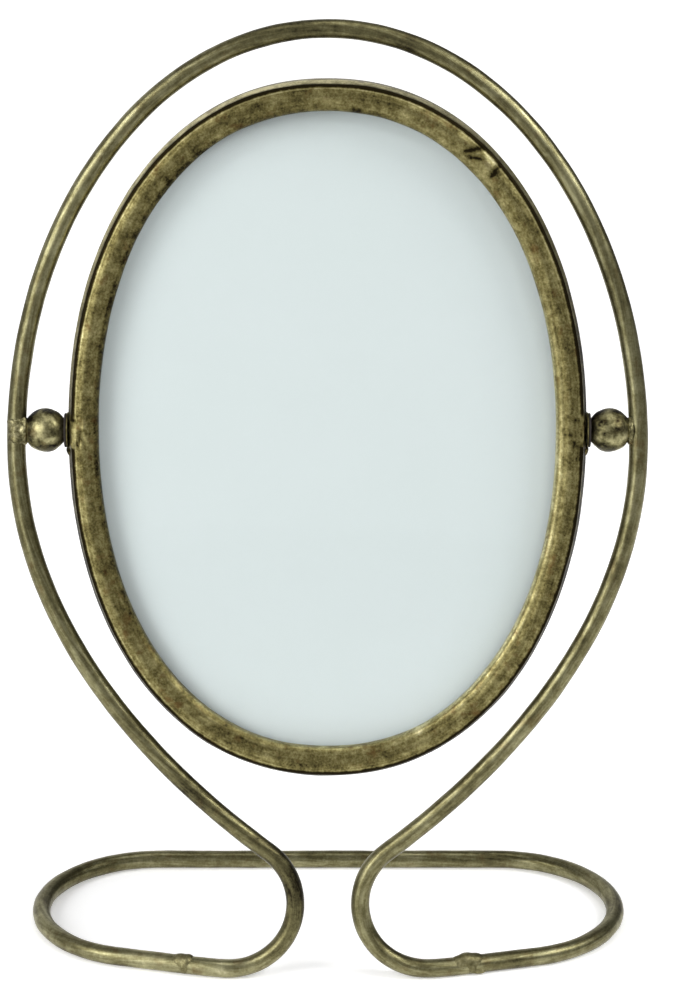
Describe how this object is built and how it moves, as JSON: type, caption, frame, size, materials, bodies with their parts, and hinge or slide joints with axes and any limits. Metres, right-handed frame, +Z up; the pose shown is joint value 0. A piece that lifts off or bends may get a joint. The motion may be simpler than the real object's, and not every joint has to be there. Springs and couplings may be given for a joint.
{
  "type": "tilting photo frame",
  "caption": "Oval glazed photo frame in aged brass that tilts on ball pivots inside a hoop of bent rod, with curled feet running into a looped rod base.",
  "frame": {"origin": "middle of the stand's footprint, on the table", "axes": "+Z up, the picture faces -Y and leans back towards +Y, +X to the viewer's right"},
  "size_m": [0.1708, 0.075, 0.2538],
  "materials": {
    "aged_brass": "antique brass, dark patina rubbed bright on the edges",
    "braze": "rough braze, rubbed bright",
    "glass": "clear polished float glass",
    "print": "smooth coated paper, plain",
    "board": "pressed fibre board faced with black paper",
    "zinc_steel": "zinc plated, dull",
    "fibre_washer": "black fibre, matt"
  },
  "bodies": {
    "stand": {"hoop_rod": "aged_brass", "base_rod": "aged_brass", "joint_weld_left": "braze", "joint_weld_right": "braze", "hoop_weld_left": "braze", "hoop_weld_right": "braze", "pivot_ball_left": "aged_brass", "pivot_ball_right": "aged_brass"},
    "picture": {"bezel": "aged_brass", "rear_band": "aged_brass", "trunnion_left": "aged_brass", "trunnion_right": "aged_brass", "flange_weld_left": "braze", "flange_weld_right": "braze", "pivot_washer_left": "fibre_washer", "pivot_washer_right": "fibre_washer", "glass_pane": "glass", "photo_print": "print", "back_board": "board", "button_rivet_1": "zinc_steel", "button_rivet_2": "zinc_steel", "button_rivet_3": "zinc_steel", "button_rivet_4": "zinc_steel"},
    "turn_button_1": {"turn_button_1": "zinc_steel"},
    "turn_button_2": {"turn_button_2": "zinc_steel"},
    "turn_button_3": {"turn_button_3": "zinc_steel"},
    "turn_button_4": {"turn_button_4": "zinc_steel"}
  },
  "joints": [
    {"name": "picture_tilt", "type": "hinge", "parent": "stand", "child": "picture", "pos_m": [0, -0.01197, 0.14789], "axis": [1, 0, 0], "continuous": true},
    {"name": "button_1_turn", "type": "hinge", "parent": "picture", "child": "turn_button_1", "pos_m": [0.03056, -0.00141, 0.21457], "axis": [0, 0.9877, -0.1564], "range_deg": [0, 90]},
    {"name": "button_2_turn", "type": "hinge", "parent": "picture", "child": "turn_button_2", "pos_m": [-0.03056, -0.00141, 0.21457], "axis": [0, 0.9877, -0.1564], "range_deg": [0, 90]},
    {"name": "button_3_turn", "type": "hinge", "parent": "picture", "child": "turn_button_3", "pos_m": [-0.03056, -0.02253, 0.08121], "axis": [0, 0.9877, -0.1564], "range_deg": [0, 90]},
    {"name": "button_4_turn", "type": "hinge", "parent": "picture", "child": "turn_button_4", "pos_m": [0.03056, -0.02253, 0.08121], "axis": [0, 0.9877, -0.1564], "range_deg": [0, 90]}
  ]
}
